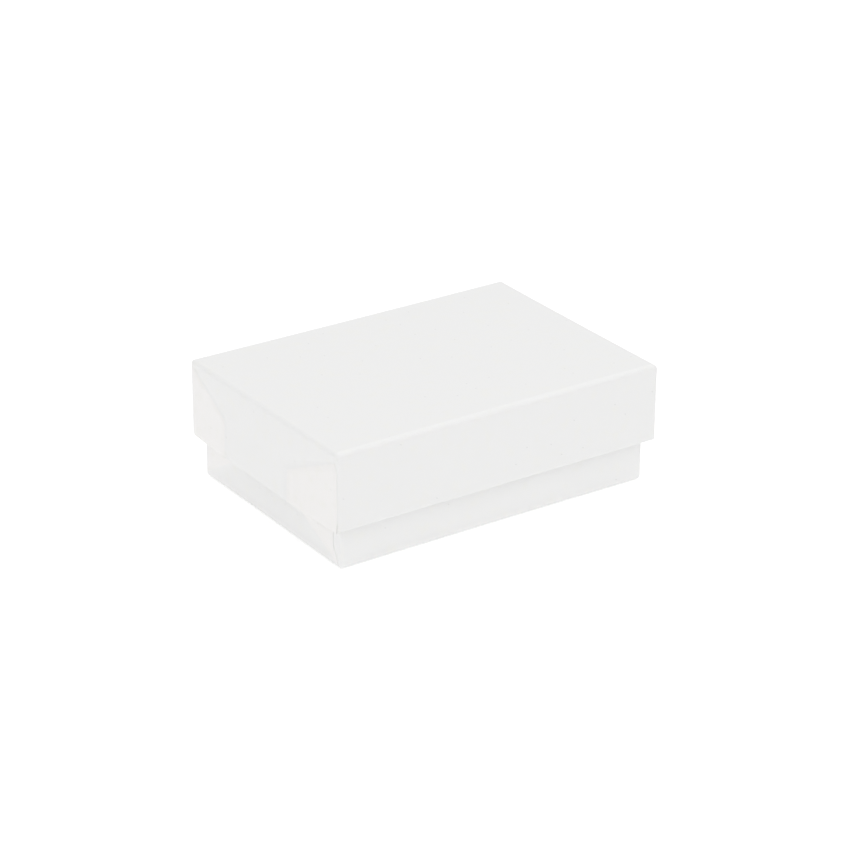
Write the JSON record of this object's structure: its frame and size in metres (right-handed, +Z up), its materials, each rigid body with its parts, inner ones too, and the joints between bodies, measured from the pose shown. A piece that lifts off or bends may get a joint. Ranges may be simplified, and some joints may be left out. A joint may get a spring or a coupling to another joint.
{
  "type": "jewelry gift box",
  "caption": "Small two-piece paper-wrapped rigid box: a shallow telescoping lid over a tray, with a lift-out flocked foam pad slit for a ring, ear studs and a chain.",
  "frame": {"origin": "centre of the face the box rests on, on the table", "axes": "+Z up, the way the lid lifts; +X along the box's length; +Y along its width, towards the chain slits"},
  "size_m": [0.0832, 0.0578, 0.0274],
  "materials": {
    "lid_paper": "matte",
    "base_paper": "matte",
    "lining_paper": "matte",
    "greyboard": "matte",
    "stay_tape": "matte",
    "pad_foam": "matte",
    "pad_flock": "matte"
  },
  "bodies": {
    "base": {"base_board": "greyboard", "base_wrap": "base_paper", "base_lining": "lining_paper", "base_corner_stay_front_left": "stay_tape", "base_corner_stay_front_right": "stay_tape", "base_corner_stay_back_right": "stay_tape", "base_corner_stay_back_left": "stay_tape"},
    "lid": {"lid_board": "greyboard", "lid_wrap": "lid_paper", "lid_lining": "lining_paper", "lid_corner_stay_front_left": "stay_tape", "lid_corner_stay_front_right": "stay_tape", "lid_corner_stay_back_right": "stay_tape", "lid_corner_stay_back_left": "stay_tape"},
    "pad": {"pad_foam": "pad_foam", "pad_flock_face": "pad_flock"}
  },
  "joints": [
    {"name": "lid_lift", "type": "slide", "parent": "base", "child": "lid", "axis": [0, 0, 1], "range_m": [0, 0.06]},
    {"name": "pad_lift", "type": "slide", "parent": "base", "child": "pad", "axis": [0, 0, 1], "range_m": [0, 0.01]}
  ]
}
